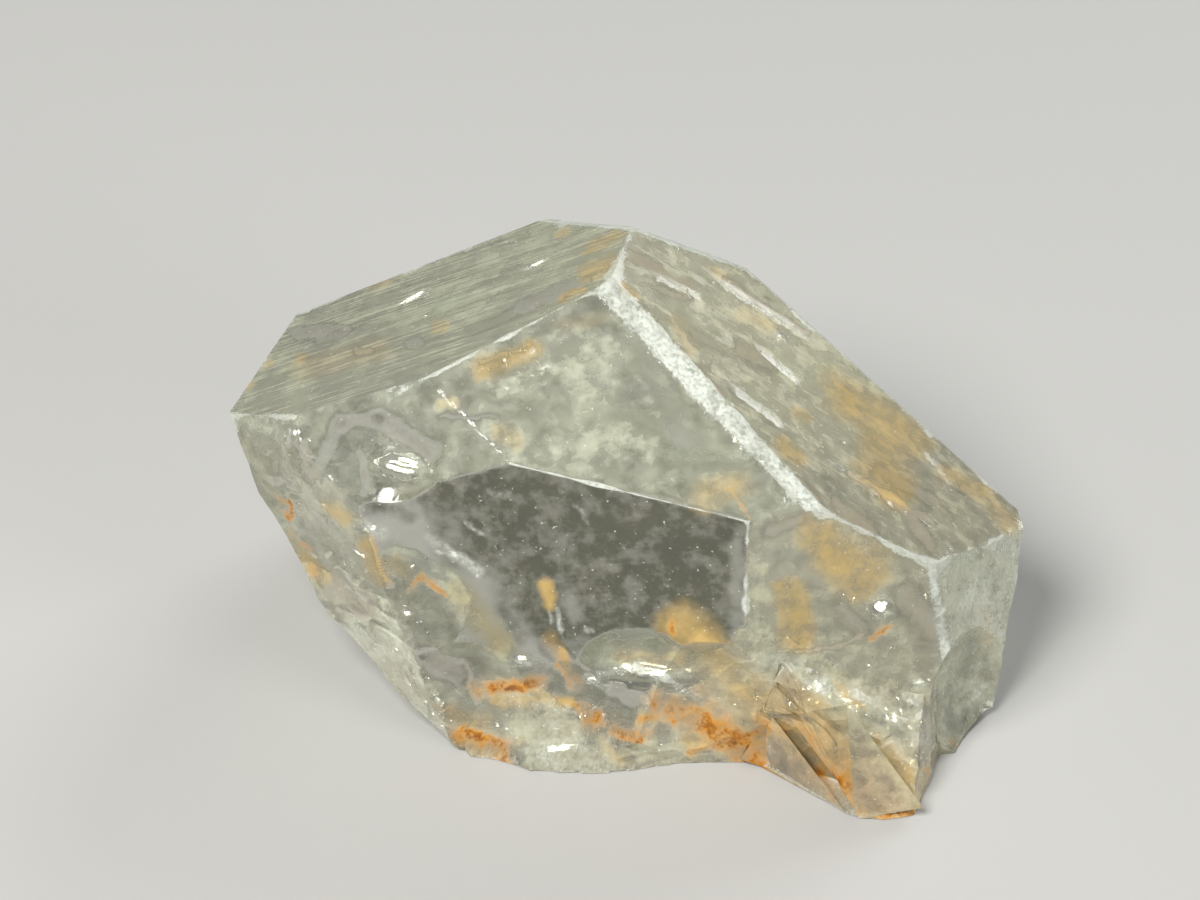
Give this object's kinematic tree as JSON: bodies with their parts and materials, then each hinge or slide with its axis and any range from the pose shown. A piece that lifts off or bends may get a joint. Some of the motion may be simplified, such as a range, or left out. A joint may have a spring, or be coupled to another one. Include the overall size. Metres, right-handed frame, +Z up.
{
  "type": "goshenite crystal",
  "caption": "Loose, partly broken colourless beryl crystal with flat glassy faces, frosted edges and rust-stained fractures, lying on a flat base.",
  "frame": {"origin": "centre of the bounding box's bottom, on the flat face that the crystal rests on", "axes": "+Z up; +X along the crystal's length, towards its rust-stained foot; the clear front faces look towards -Y"},
  "size_m": [0.0286, 0.0194, 0.0159],
  "materials": {
    "goshenite": "clear to milky beryl with frosted edges and rust-stained fractures"
  },
  "bodies": {
    "root": {"goshenite_crystal": "goshenite"}
  },
  "joints": []
}
